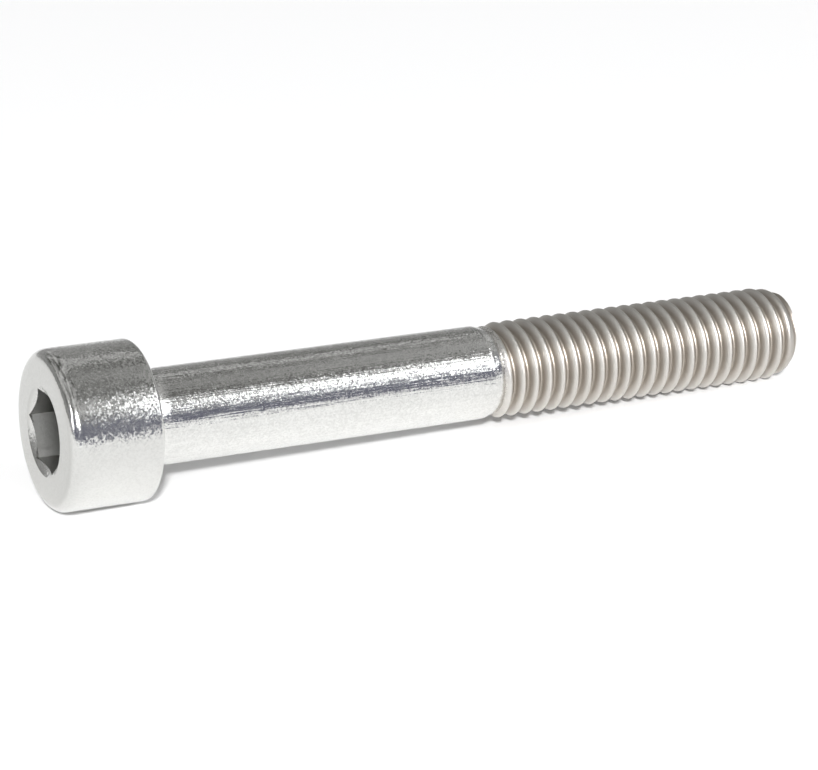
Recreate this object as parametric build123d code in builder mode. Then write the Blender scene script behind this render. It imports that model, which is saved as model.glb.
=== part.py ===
from build123d import *
from math import asin, atan2, ceil, cos, degrees, hypot, radians, sin, sqrt, tan
import os

# Hex socket cap screw M8 x 60 with a part-length metric coarse thread: one piece of
# steel, its head and socket forged and its thread rolled.  Sizes are in millimetres.
#
# Everything is turned about one axis.  Stations along it start at the bearing face
# under the head and grow towards the point; radii are measured from it.  The screw
# lies at rest on the rim of its head and on the last full crest of its thread, so
# the axis slopes down a little towards the point.

# ---- driving dimensions ------------------------------------------------------

# thread
thread_diameter = 8.0
pitch = 1.25
length_under_head = 60.0
threaded_length = 28.0
run_out_length = 1.7  # from the end of the plain shank to the first full crest
groove_lead = 0.53  # from the end of the plain shank to the first groove across the top

# shank
shank_undersize = 0.1  # depth of the shank's surface below the crests
waist_depth = 0.2  # depth of the waist before the thread below the shank
waist_length = 0.7

# point
point_length = 2.0
point_depth = 0.65  # depth of the end face's edge below the crests
point_bulge = 0.08  # swell of the tapered point past a straight cone

# under the head
draft_length = 1.4  # slightly thicker stretch of shank against the head
draft_swell = 0.225  # rise of that stretch above the shank
underhead_fillet = 0.4

# head
head_diameter = 13.0
head_height = 7.7
face_edge_radius = 1.05
rim_edge_radius = 0.35

# socket
socket_across_flats = 6.0
socket_depth = 4.3
socket_floor_depth = 0.8  # shallow cone beyond the flats
socket_turn = 33.0  # degrees from one corner straight up
mouth_margin = 0.186  # reach of the countersunk mouth past the corners
mouth_angle = 120.0  # included angle of that mouth

# ---- worked-out sizes --------------------------------------------------------

thread_radius = thread_diameter / 2
shank_radius = thread_radius - shank_undersize
waist_radius = shank_radius - waist_depth
point_radius = thread_radius - point_depth
draft_radius = shank_radius + draft_swell
head_radius = head_diameter / 2
socket_inner_radius = socket_across_flats / 2
socket_corner_radius = socket_across_flats / sqrt(3)
mouth_radius = socket_corner_radius + mouth_margin
mouth_depth = mouth_radius / tan(radians(mouth_angle / 2))

full_thread_start = length_under_head - threaded_length
shank_length = full_thread_start - run_out_length
first_groove = shank_length + groove_lead
waist_end = shank_length + waist_length
point_start = length_under_head - point_length
socket_end = socket_depth - head_height

# ISO metric thread form: 60 degree flanks and a root arc that touches both of them
flank_angle = radians(30)
thread_triangle = pitch * sqrt(3) / 2
root_arc_radius = thread_triangle / 6
root_arc_depth = thread_triangle * 13 / 24
root_depth = root_arc_depth + root_arc_radius
root_radius = thread_radius - root_depth

# ---- the lying screw ---------------------------------------------------------

# The slope is that of the line which touches the edge arc of the head's rim and the
# last full crest of the thread.
rest_span = point_start + rim_edge_radius
rest_drop = head_radius - rim_edge_radius - thread_radius
slope = atan2(rest_drop, rest_span) + asin(rim_edge_radius / hypot(rest_span, rest_drop))

# The frame's origin is on the resting surface, under the middle of the overall length.
face_arc_station = face_edge_radius - head_height
face_arc_centre = head_radius - face_edge_radius
rear_end = face_arc_station * cos(slope) - face_arc_centre * sin(slope) - face_edge_radius
front_end = length_under_head * cos(slope) + point_radius * sin(slope)
bearing_height = thread_radius * cos(slope) + point_start * sin(slope)
bearing_centre = Vector(-(rear_end + front_end) / 2, 0, bearing_height)

towards_point = Vector(cos(slope), 0, -sin(slope))
upwards = Vector(sin(slope), 0, cos(slope))
screw_axis = Axis(bearing_centre, towards_point)

# local x is the station and local y the radius
outline_plane = Plane(bearing_centre, x_dir=towards_point, z_dir=(0, -1, 0))
# local x points up and local z towards the point
cross_plane = Plane(bearing_centre, x_dir=upwards, z_dir=towards_point)

# ---- one turn of the thread's groove -----------------------------------------

# The cutter reaches past the crests, short of its neighbouring turn, and each turn
# runs a little into the next.
cutter_reach = 0.1
turn_overlap = 1.01
cutter_half_width = pitch * 7 / 16 + cutter_reach * tan(flank_angle)
root_half_width = root_arc_radius * cos(flank_angle)
tangent_depth = root_arc_depth + root_arc_radius * sin(flank_angle)
helix_centre = bearing_centre + towards_point * (first_groove - pitch)

with BuildPart() as groove_turn:
    with BuildLine() as turn_path:
        Helix(pitch, pitch * turn_overlap, thread_radius, center=helix_centre, direction=towards_point)
    turn_start = turn_path.line @ 0
    # local x points outwards from the crest line and local y along the screw
    with BuildSketch(Plane(turn_start, x_dir=turn_start - helix_centre, z_dir=turn_path.line % 0)):
        with BuildLine():
            Polyline(
                (-tangent_depth, root_half_width),
                (cutter_reach, cutter_half_width),
                (cutter_reach, -cutter_half_width),
                (-tangent_depth, -root_half_width),
            )
            ThreePointArc(
                (-tangent_depth, -root_half_width),
                (-root_depth, 0),
                (-tangent_depth, root_half_width),
            )
        make_face()
    sweep(path=turn_path.line, is_frenet=True)

# one turn before the first groove, and one past the point
turns = ceil((length_under_head - first_groove) / pitch) + 2

# ---- the screw ---------------------------------------------------------------

# The thread's blank starts buried in the waist, widens to the crests and ends in the point.
blank_start = shank_length - 0.1
blank_start_radius = waist_radius - 0.4
# Past the waist the core narrows to below the roots, so the first grooves run out on it.
core_end = full_thread_start + 1.5
core_end_radius = root_radius - 0.5

with BuildPart() as screw:
    # thread blank
    with BuildSketch(outline_plane):
        with BuildLine():
            Polyline(
                (length_under_head, point_radius),
                (length_under_head, 0),
                (blank_start, 0),
                (blank_start, blank_start_radius),
                (full_thread_start, thread_radius),
                (point_start, thread_radius),
            )
            SagittaArc((point_start, thread_radius), (length_under_head, point_radius), point_bulge)
        make_face()
    revolve(axis=screw_axis)

    # helical groove
    with Locations([towards_point * (pitch * turn) for turn in range(turns)]):
        add(groove_turn.part, mode=Mode.SUBTRACT)

    # head, shank and waist
    with BuildSketch(outline_plane):
        with BuildLine():
            FilletPolyline(
                (core_end, 0),
                (-head_height, 0),
                (-head_height, head_radius),
                (0, head_radius),
                (0, draft_radius),
                (draft_length, shank_radius),
                (shank_length, shank_radius),
                (waist_end, waist_radius),
                (core_end, core_end_radius),
                radius=[0, 0, face_edge_radius, rim_edge_radius, underhead_fillet, 0, 0, 0, 0],
                close=True,
            )
        make_face()
    revolve(axis=screw_axis)

    # flats of the socket
    with BuildSketch(cross_plane.offset(-head_height)):
        RegularPolygon(socket_corner_radius, 6, rotation=socket_turn)
    extrude(amount=socket_depth, mode=Mode.SUBTRACT)

    # conical floor of the socket and its countersunk mouth
    with BuildSketch(outline_plane):
        with BuildLine():
            Polyline(
                (-head_height, 0),
                (-head_height, socket_inner_radius),
                (socket_end, socket_inner_radius),
                (socket_end + socket_floor_depth, 0),
                close=True,
            )
        make_face()
        with BuildLine():
            Polyline(
                (-head_height, 0),
                (-head_height, mouth_radius),
                (-head_height + mouth_depth, 0),
                close=True,
            )
        make_face()
    revolve(axis=screw_axis, mode=Mode.SUBTRACT)

screw.part.label = "cap_screw"
os.makedirs("parts", exist_ok=True)
export_step(screw.part, "parts/cap_screw.step")

print("valid", screw.part.is_valid, "faces", len(screw.part.faces()), "volume", screw.part.volume)
print("slope in degrees", degrees(slope))
print("box", screw.part.bounding_box())
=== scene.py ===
from functools import reduce
from math import asin, atan2, cos, hypot, pi, radians, sin, sqrt, tan

import bmesh
import bpy
import numpy as np
from mathutils import Euler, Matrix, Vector


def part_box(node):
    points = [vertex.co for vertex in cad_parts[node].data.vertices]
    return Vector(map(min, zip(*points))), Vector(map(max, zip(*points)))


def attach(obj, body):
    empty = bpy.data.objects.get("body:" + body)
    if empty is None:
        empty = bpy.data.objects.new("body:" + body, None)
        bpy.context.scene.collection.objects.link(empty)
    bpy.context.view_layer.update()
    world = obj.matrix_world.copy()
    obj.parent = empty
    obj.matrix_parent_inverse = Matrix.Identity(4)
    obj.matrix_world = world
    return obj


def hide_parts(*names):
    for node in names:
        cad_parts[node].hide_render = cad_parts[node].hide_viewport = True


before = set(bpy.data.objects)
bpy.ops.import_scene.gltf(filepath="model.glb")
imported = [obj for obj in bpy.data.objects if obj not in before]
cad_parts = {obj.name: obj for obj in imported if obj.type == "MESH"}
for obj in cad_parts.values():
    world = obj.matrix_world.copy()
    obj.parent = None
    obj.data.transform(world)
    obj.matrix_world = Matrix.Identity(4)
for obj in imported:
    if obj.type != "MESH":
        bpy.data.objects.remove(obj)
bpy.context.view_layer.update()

# A bright zinc-plated hex socket cap screw, lying on the rim of its head and on the last
# full crest of its thread.  Stations along its axis start under the head and grow towards
# the point.  Sizes are in millimetres until the mesh is made.

MM = 0.001

# ---- sizes of the screw ------------------------------------------------------

# thread
thread_radius = 4.0
pitch = 1.25
length_under_head = 60.0
full_thread_start = 32.0
first_groove = 30.83  # station at which a groove crosses the top of the screw
point_start = 58.0
point_radius = 3.35
point_bulge = 0.08
end_face_rings = (2.5, 1.2)  # radii of the rings that divide the end face

# shank
shank_length = 30.3
shank_radius = 3.9
draft_length = 1.4
draft_radius = 4.125
draft_round = 6.0
underhead_fillet = 0.4

# waist between shank and thread, and the core that carries on under the first grooves
waist_radius = 3.7
waist_end = 31.0
waist_start_round = 0.8
waist_end_round = 1.2
core_end = full_thread_start + 1.5
core_end_radius = 2.7
blank_start_radius = shank_radius - 0.6

# head
head_radius = 6.5
head_height = 7.7
face_edge_radius = 1.05
rim_edge_radius = 0.35

# socket
socket_inner_radius = 3.0
socket_corner_radius = socket_inner_radius * 2 / sqrt(3)
socket_depth = 4.3
socket_floor = socket_depth - head_height
socket_floor_depth = 0.8
socket_turn = radians(33)
mouth_radius = socket_corner_radius + 0.186
mouth_half_angle = radians(60)

# ISO metric thread form, with its crests rolled round
flank_angle = radians(30)
thread_triangle = pitch * sqrt(3) / 2
root_arc_radius = thread_triangle / 6
root_arc_centre = thread_radius - thread_triangle * 13 / 24
root_half_width = root_arc_radius * cos(flank_angle)
crest_blend = 0.32
run_out_blend = 0.06

# ---- the lying screw ---------------------------------------------------------

rest_span = point_start + rim_edge_radius
rest_drop = head_radius - rim_edge_radius - thread_radius
slope = atan2(rest_drop, rest_span) + asin(rim_edge_radius / hypot(rest_span, rest_drop))
rear_end = (
    (face_edge_radius - head_height) * cos(slope)
    - (head_radius - face_edge_radius) * sin(slope)
    - face_edge_radius
)
front_end = length_under_head * cos(slope) + point_radius * sin(slope)
bearing_height = thread_radius * cos(slope) + point_start * sin(slope)
bearing_centre = np.array([-(rear_end + front_end) / 2, 0, bearing_height])
towards_point = np.array([cos(slope), 0, -sin(slope)])
upwards = np.array([sin(slope), 0, cos(slope)])
sideways = np.cross(towards_point, upwards)

# ---- the screw's skin ----------------------------------------------------------

# The skin is made of rings of points about the axis, one point per column.
COLUMNS = 180  # a multiple of six, so that the socket's corners fall on columns
turn = socket_turn + np.arange(COLUMNS) * 2 * pi / COLUMNS
advance = pitch * turn / (2 * pi)  # how far the thread has moved along at each column


def place(station, radius):
    """Points in metres for one station and radius per column."""
    station, radius = np.broadcast_arrays(station, radius, turn)[:2]
    across = np.outer(np.cos(turn), upwards) + np.outer(np.sin(turn), sideways)
    return (bearing_centre + np.outer(station, towards_point) + across * radius[:, None]) * MM


def rounded(corners, steps=10):
    """Outline points for corners of (station, radius, rounding)."""
    points = [corners[0][:2]]
    for before, here, after in zip(corners, corners[1:], corners[2:]):
        middle = np.array(here[:2])
        rounding = here[2]
        if rounding == 0:
            points.append(tuple(middle))
            continue
        back = np.array(before[:2]) - middle
        ahead = np.array(after[:2]) - middle
        back /= np.linalg.norm(back)
        ahead /= np.linalg.norm(ahead)
        half = np.arccos(np.clip(back @ ahead, -1, 1)) / 2
        inward = (back + ahead) / np.linalg.norm(back + ahead)
        centre = middle + inward * rounding / sin(half)
        first = middle + back * rounding / tan(half) - centre
        last = middle + ahead * rounding / tan(half) - centre
        sweep = pi - 2 * half
        for step in range(steps + 1):
            share = step / steps
            spoke = first * sin((1 - share) * sweep) + last * sin(share * sweep)
            points.append(tuple(centre + spoke / sin(sweep)))
    points.append(corners[-1][:2])
    return points


# from the socket's mouth over the head and along the shank, to where the helical rows start
outline = rounded([
    (-head_height, mouth_radius, 0),
    (-head_height, head_radius, face_edge_radius),
    (0, head_radius, rim_edge_radius),
    (0, draft_radius, underhead_fillet),
    (draft_length, shank_radius, draft_round),
    (shank_length - 0.2, shank_radius, 0),
])

waist_outline = np.array(rounded([
    (0, shank_radius, 0),
    (shank_length, shank_radius, waist_start_round),
    (waist_end, waist_radius, waist_end_round),
    (core_end, core_end_radius, 0),
]))


def blank(station):
    """Radius of the thread's blank, before its groove is rolled."""
    rise = np.interp(station, [shank_length, full_thread_start], [blank_start_radius, thread_radius])
    point_length = length_under_head - point_start
    chord = hypot(point_length, thread_radius - point_radius)
    share = np.clip((station - point_start) / point_length, 0, 1)
    point = thread_radius + (point_radius - thread_radius) * share
    bulge = point_bulge * 4 * share * (1 - share) * chord / point_length
    return np.where(station < point_start, rise, point + bulge)


def groove(offset):
    """Radius of the groove's section at an offset along the screw from its middle."""
    offset = np.abs((offset + pitch / 2) % pitch - pitch / 2)
    arc = root_arc_centre - np.sqrt(np.maximum(root_arc_radius ** 2 - offset ** 2, 0))
    tangent = root_arc_centre - root_arc_radius * sin(flank_angle)
    flank = tangent + (offset - root_half_width) / tan(flank_angle)
    return np.where(offset < root_half_width, arc, flank)


def soft_min(a, b, reach):
    """The smaller of two values, blended where they are within a reach of each other."""
    mix = np.clip(0.5 + 0.5 * (b - a) / reach, 0, 1)
    return b + (a - b) * mix - reach * mix * (1 - mix)


def soft_max(a, b, reach):
    """The larger of two values, blended in the same way."""
    return -soft_min(-a, -b, reach)


def thread(station):
    """Radius of the threaded end for one station per column."""
    crests = soft_min(blank(station), groove(station - (first_groove + advance)), crest_blend)
    core = np.interp(station, waist_outline[:, 0], waist_outline[:, 1])
    return soft_max(crests, core, run_out_blend)


# Rows of one pitch, as distances from the groove's middle, closer where its section bends.
half_rows = [0.055, 0.108, 0.156, 0.27, 0.38, 0.46, 0.52, 0.575]
rows = sorted([0, pitch / 2] + half_rows + [-row for row in half_rows])


def helix_rows():
    """Stations of the thread's rows, one per column, each row following the groove."""
    start = outline[-1][0]
    laps = int((length_under_head - start) / pitch)
    # The laps past both ends are flattened onto them, and fill the wedges left there.
    for lap in range(-2, laps + 4):
        for row in rows:
            station = first_groove + pitch * lap + row + advance
            yield np.clip(station, start, length_under_head)


def screw_mesh():
    """The whole screw as one closed skin, from the socket's floor to the point."""
    hexagon = socket_inner_radius / np.cos((turn - socket_turn) % (pi / 3) - pi / 6)
    mouth_depth = (mouth_radius - hexagon) / tan(mouth_half_angle)
    rings = [
        place(socket_floor, socket_inner_radius),
        place(socket_floor, hexagon),
        place(-head_height + mouth_depth, hexagon),
    ]
    rings += [place(station, radius) for station, radius in outline]
    first_helical = len(rings)
    rings += [place(station, thread(station)) for station in helix_rows()]
    first_flat = len(rings)
    rings += [place(length_under_head, radius) for radius in end_face_rings]

    floor_middle = bearing_centre + towards_point * (socket_floor + socket_floor_depth)
    end_middle = bearing_centre + towards_point * length_under_head
    vertices = [floor_middle * MM] + [point for ring in rings for point in ring] + [end_middle * MM]

    def index(ring, column):
        # After a whole turn the helical rows meet the rows of the next pitch.
        if column == COLUMNS:
            column = 0
            if first_helical <= ring < first_flat:
                ring = min(ring + len(rows), first_flat - 1)
        return 1 + ring * COLUMNS + column

    faces = []
    last = len(rings) - 1
    for column in range(COLUMNS):
        faces.append((0, index(0, column + 1), index(0, column)))
    for ring in range(last):
        for column in range(COLUMNS):
            near = index(ring, column), index(ring, column + 1)
            far = index(ring + 1, column + 1), index(ring + 1, column)
            faces.append(near + far)
    for column in range(COLUMNS):
        faces.append((index(last, column), index(last, column + 1), len(vertices) - 1))
    mesh = bpy.data.meshes.new("screw")
    mesh.from_pydata([tuple(vertex) for vertex in vertices], [], faces)
    return mesh


def close_and_smooth(mesh):
    """Joins the points that fall together at both ends of the thread, and shades smooth."""
    weld_distance = 2e-7
    sharp_angle = radians(28)
    work = bmesh.new()
    work.from_mesh(mesh)
    bmesh.ops.remove_doubles(work, verts=work.verts, dist=weld_distance)
    bmesh.ops.dissolve_degenerate(work, edges=work.edges, dist=weld_distance)
    bmesh.ops.recalc_face_normals(work, faces=work.faces)
    work.to_mesh(mesh)
    work.free()
    mesh.shade_smooth()
    mesh.set_sharp_from_angle(angle=sharp_angle)


# ---- materials -----------------------------------------------------------------


class Nodes:
    """Short names for making and joining shader nodes."""

    def __init__(self, tree):
        self.tree = tree

    def join(self, value, socket):
        if isinstance(value, bpy.types.NodeSocket):
            self.tree.links.new(value, socket)
        else:
            socket.default_value = value

    def add(self, kind, inputs=None, **settings):
        node = self.tree.nodes.new(kind)
        for name, value in settings.items():
            setattr(node, name, value)
        for name, value in (inputs or {}).items():
            self.join(value, node.inputs[name])
        return node

    def math(self, operation, a, b=0.0, clamp=False):
        inputs = {0: a, 1: b}
        return self.add("ShaderNodeMath", inputs, operation=operation, use_clamp=clamp).outputs[0]

    def total(self, *values):
        return reduce(lambda a, b: self.math("ADD", a, b), values)

    def product(self, *values):
        return reduce(lambda a, b: self.math("MULTIPLY", a, b), values)

    def vector(self, operation, inputs):
        return self.add("ShaderNodeVectorMath", inputs, operation=operation).outputs[0]

    def ramp(self, value, low, high, to_low=0.0, to_high=1.0):
        inputs = {"Value": value, "From Min": low, "From Max": high, "To Min": to_low, "To Max": to_high}
        return self.add("ShaderNodeMapRange", inputs).outputs[0]

    def border(self, value, middle, reach):
        """Rises from 0 to 1 over a reach each side of a middle, or falls for a negative reach."""
        return self.ramp(value, middle - reach, middle + reach)

    def noise(self, vector, scale, detail, roughness):
        inputs = {"Vector": vector, "Scale": scale, "Detail": detail, "Roughness": roughness}
        return self.add("ShaderNodeTexNoise", inputs).outputs[0]

    def stretch(self, vector, along, across):
        inputs = {"Vector": vector, "Scale": (along, across, across)}
        return self.add("ShaderNodeMapping", inputs).outputs[0]

    def mix(self, factor, a, b):
        node = self.add("ShaderNodeMix", data_type="RGBA")
        # These are the colour sockets of a node that has one set for each data type.
        self.join(factor, node.inputs[0])
        self.join(a, node.inputs[6])
        self.join(b, node.inputs[7])
        return node.outputs[2]


class Regions:
    """Where a shaded point is on the screw, with a mask from 0 to 1 for each region."""

    def __init__(self, n):
        self.n = n
        # The object's own coordinates, turned to the screw's axis and in millimetres.
        turned_centre = Euler((0, -slope, 0)).to_matrix() @ Vector(bearing_centre)
        self.place = n.add("ShaderNodeMapping", {
            "Vector": n.add("ShaderNodeTexCoord").outputs["Object"],
            "Location": -turned_centre,
            "Rotation": (0, -slope, 0),
            "Scale": (1 / MM, 1 / MM, 1 / MM),
        }).outputs[0]
        self.station, side, up = n.add("ShaderNodeSeparateXYZ", {0: self.place}).outputs
        self.radius = n.math("SQRT", n.total(n.product(side, side), n.product(up, up)))

        # Each border has the place of its middle and half its width.
        self.head = n.border(self.station, 0.15, -0.15)
        self.thread = n.border(self.station, shank_length + 1.1, 0.5)
        self.shank = n.math("SUBTRACT", n.math("SUBTRACT", 1.0, self.head), self.thread, clamp=True)
        self.edge = n.product(
            n.border(self.station, face_edge_radius - head_height, -0.25),
            n.border(self.radius, head_radius - face_edge_radius, 0.25),
        )
        self.face = n.border(self.station, 0.12 - head_height, -0.08)
        self.socket = n.product(
            n.border(self.station, 0.3 - head_height, 0.1),
            n.border(self.radius, (socket_corner_radius + mouth_radius) / 2, -0.05),
            self.head,
        )
        # The end face is left out of the grooves.
        self.groove = n.product(
            n.border(self.radius, thread_radius - 0.375, -0.225),
            self.thread,
            n.border(self.station, length_under_head - 0.06, -0.04),
        )

    def blend(self, head, edge, shank, thread):
        """A number for each region, blended where they meet."""
        n = self.n
        return n.total(
            n.product(self.head, n.ramp(self.edge, 0.0, 1.0, head, edge)),
            n.product(self.shank, shank),
            n.product(self.thread, thread),
        )


def new_material(name):
    material = bpy.data.materials.new(name)
    material.use_nodes = True
    material.node_tree.nodes.clear()
    return material, Nodes(material.node_tree)


def plated_steel():
    """Bright zinc plating: speckled on the head, drawn along the shank, with painted shade in the grooves,
    deep in the socket and on the face.
    """
    clean_steel = (0.83, 0.83, 0.81, 1)
    dull_steel = (0.66, 0.66, 0.64, 1)
    # a darker tone of steel for the head, and painted shade on its face
    head_tone_and_face_shade = (0.56, 0.56, 0.54, 1)
    crest_steel = (0.63, 0.61, 0.575, 1)
    # painted shade for the thread's grooves
    groove_painted_shade = (0.42, 0.38, 0.335, 1)
    # painted shade for the depth of the socket
    socket_painted_shade = (0.17, 0.17, 0.16, 1)
    grains_per_mm = 7.5

    material, n = new_material("plated_steel")
    on = Regions(n)
    grain = n.add("ShaderNodeTexVoronoi", {"Vector": on.place, "Scale": grains_per_mm}).outputs["Color"]
    tone = n.add("ShaderNodeSeparateXYZ", {0: grain}).outputs[0]
    speckle = n.noise(on.place, scale=7.0, detail=3.0, roughness=0.65)
    mottle = n.noise(on.place, scale=1.6, detail=4.0, roughness=0.7)
    drawn = n.stretch(on.place, along=0.15, across=5.0)
    streak = n.noise(drawn, scale=1.0, detail=3.0, roughness=0.6)

    # height of the surface, in millimetres
    relief = n.total(
        n.product(speckle, on.blend(head=0.0045, edge=0.004, shank=0.008, thread=0.006)),
        n.product(streak, on.shank, 0.026),
    )
    bump = n.add("ShaderNodeBump", {"Strength": 1.0, "Distance": MM, "Height": relief}).outputs[0]

    # each grain of the plating leans its own way, less so inside the socket
    lean_reach = n.product(
        on.blend(head=0.14, edge=0.06, shank=0.10, thread=0.03),
        n.ramp(on.socket, 0.0, 1.0, 1.0, 0.3),
    )
    lean = n.vector("SUBTRACT", {0: grain, 1: (0.5, 0.5, 0.5)})
    lean = n.vector("SCALE", {0: lean, "Scale": lean_reach})
    normal = n.vector("NORMALIZE", {0: n.vector("ADD", {0: bump, 1: lean})})

    # the socket's walls darken with depth, a painted shade
    painted_socket_shade = n.product(on.socket, n.ramp(on.station, 0.8 - head_height, 2.5 - head_height))
    dullness = n.total(n.product(tone, 0.45), n.product(mottle, 0.5), n.product(streak, on.shank, 0.5))
    colour = n.mix(n.ramp(dullness, 0.35, 0.95), clean_steel, dull_steel)
    # the head takes a darker tone of steel, and its face a darker one still, which is painted shade
    colour = n.mix(n.product(on.head, n.ramp(on.face, 0.0, 1.0, 0.5, 0.95)), colour, head_tone_and_face_shade)
    colour = n.mix(on.thread, colour, crest_steel)
    # the grooves are painted darker and browner, a painted shade in the recesses
    colour = n.mix(on.groove, colour, groove_painted_shade)
    colour = n.mix(painted_socket_shade, colour, socket_painted_shade)

    outside_socket = n.math("SUBTRACT", 1.0, on.socket)
    roughness = n.total(
        n.ramp(tone, 0.0, 1.0, 0.08, 0.18),
        n.product(on.blend(head=0.08, edge=0.02, shank=0.0, thread=0.3), outside_socket),
        n.product(on.socket, 0.2),
    )
    shader = n.add("ShaderNodeBsdfPrincipled", {
        "Base Color": colour,
        "Metallic": 1.0,
        "Roughness": roughness,
        "Normal": normal,
    })
    n.add("ShaderNodeOutputMaterial", {"Surface": shader.outputs[0]})
    return material


def floor_material():
    """Pale matt paper that the camera and the metal see a little lighter than its colour."""
    paper_colour = (0.86, 0.86, 0.86, 1)
    glow_strength = 0.07
    material, n = new_material("floor")
    paper = n.add("ShaderNodeBsdfDiffuse", {"Color": paper_colour})
    path = n.add("ShaderNodeLightPath").outputs
    seen = n.math("MAXIMUM", path["Is Camera Ray"], path["Is Glossy Ray"])
    seen = n.math("MAXIMUM", seen, path["Is Transmission Ray"])
    glow = n.add("ShaderNodeEmission", {"Color": (1, 1, 1, 1), "Strength": n.product(seen, glow_strength)})
    both = n.add("ShaderNodeAddShader", {0: paper.outputs[0], 1: glow.outputs[0]})
    n.add("ShaderNodeOutputMaterial", {"Surface": both.outputs[0]})
    return material


# ---- screw and floor -------------------------------------------------------------


def new_object(name, data):
    thing = bpy.data.objects.new(name, data)
    bpy.context.scene.collection.objects.link(thing)
    return thing


skin = screw_mesh()
close_and_smooth(skin)
skin.materials.append(plated_steel())
screw = new_object("screw", skin)
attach(screw, "root")
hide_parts("cap_screw")

low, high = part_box("cap_screw")
middle = (low + high) / 2

floor_reach = 40.0
floor_sides = [(-1, -1), (1, -1), (1, 1), (-1, 1)]
floor_corners = [(x * floor_reach, y * floor_reach, low.z) for x, y in floor_sides]
floor_mesh = bpy.data.meshes.new("floor")
floor_mesh.from_pydata(floor_corners, [], [(0, 1, 2, 3)])
floor_mesh.materials.append(floor_material())
floor = new_object("floor", floor_mesh)

# ---- light -----------------------------------------------------------------------


def softbox(name, direction, distance, width, height, radiance, colour=(1, 1, 1)):
    """An area lamp that looks at the middle of the screw from a direction."""
    direction = Vector(direction).normalized()
    lamp = bpy.data.lights.new(name, "AREA")
    lamp.shape = "RECTANGLE"
    lamp.size = width
    lamp.size_y = height
    lamp.energy = radiance * pi * width * height
    lamp.color = colour
    thing = new_object(name, lamp)
    thing.location = middle + direction * distance
    thing.rotation_euler = direction.to_track_quat("Z", "Y").to_euler()


def studio_world():
    """A mottled ceiling over a plain wall, with a dim cool band low on the camera's side."""
    ceiling_dark = (0.08, 0.08, 0.075, 1)
    ceiling_light = (0.68, 0.68, 0.68, 1)
    wall = (0.35, 0.35, 0.35, 1)
    cool_band = (0.16, 0.165, 0.215, 1)
    world = bpy.data.worlds.new("world")
    world.use_nodes = True
    world.node_tree.nodes.clear()
    n = Nodes(world.node_tree)
    direction = n.add("ShaderNodeTexCoord").outputs["Generated"]
    _, northward, upward = n.add("ShaderNodeSeparateXYZ", {0: direction}).outputs
    mottle = n.noise(direction, scale=4.5, detail=3.0, roughness=0.6)
    sky = n.mix(n.ramp(mottle, 0.42, 0.60), ceiling_dark, ceiling_light)
    sky = n.mix(n.ramp(upward, 0.2, 0.35), wall, sky)
    in_band = n.product(n.ramp(upward, 0.55, 0.30), n.ramp(northward, 0.1, -0.3))
    sky = n.mix(in_band, sky, cool_band)
    background = n.add("ShaderNodeBackground", {"Color": sky})
    n.add("ShaderNodeOutputWorld", {"Surface": background.outputs[0]})
    return world


# lights the floor and casts the shadow
softbox("front", (-0.35, -0.786, 0.51), distance=2.0, width=0.15, height=0.15, radiance=760)
# mirrored along the head and the shank
softbox("weak_strip", (0.425, -0.70, 0.574), distance=1.2, width=0.11, height=0.56,
        radiance=0.6, colour=(0.90, 0.94, 1.0))
# mirrored along the shank and the thread
softbox("strip", (0.664, -0.565, 0.489), distance=1.2, width=0.554, height=0.56,
        radiance=3.2, colour=(0.97, 0.98, 1.0))
# mirrored in the rounded edge of the face and in the thread
softbox("left", (-0.87, -0.27, 0.32), distance=1.2, width=0.20, height=0.50, radiance=4)
bpy.context.scene.world = studio_world()

# ---- camera ----------------------------------------------------------------------

camera_azimuth = radians(26.41)
camera_elevation = radians(21.62)
camera_distance = 0.2710
aim_offset = Vector((-1.395, 0.881, -1.885))
aim = middle + aim_offset * MM

camera_data = bpy.data.cameras.new("camera")
camera_data.sensor_width = 36
camera_data.lens = 144.1
camera = new_object("camera", camera_data)
look = Vector((
    sin(camera_azimuth) * cos(camera_elevation),
    cos(camera_azimuth) * cos(camera_elevation),
    -sin(camera_elevation),
))
camera.location = aim - look * camera_distance
camera.rotation_euler = (pi / 2 - camera_elevation, 0, -camera_azimuth)
bpy.context.scene.camera = camera

bpy.context.scene.view_settings.view_transform = "Standard"
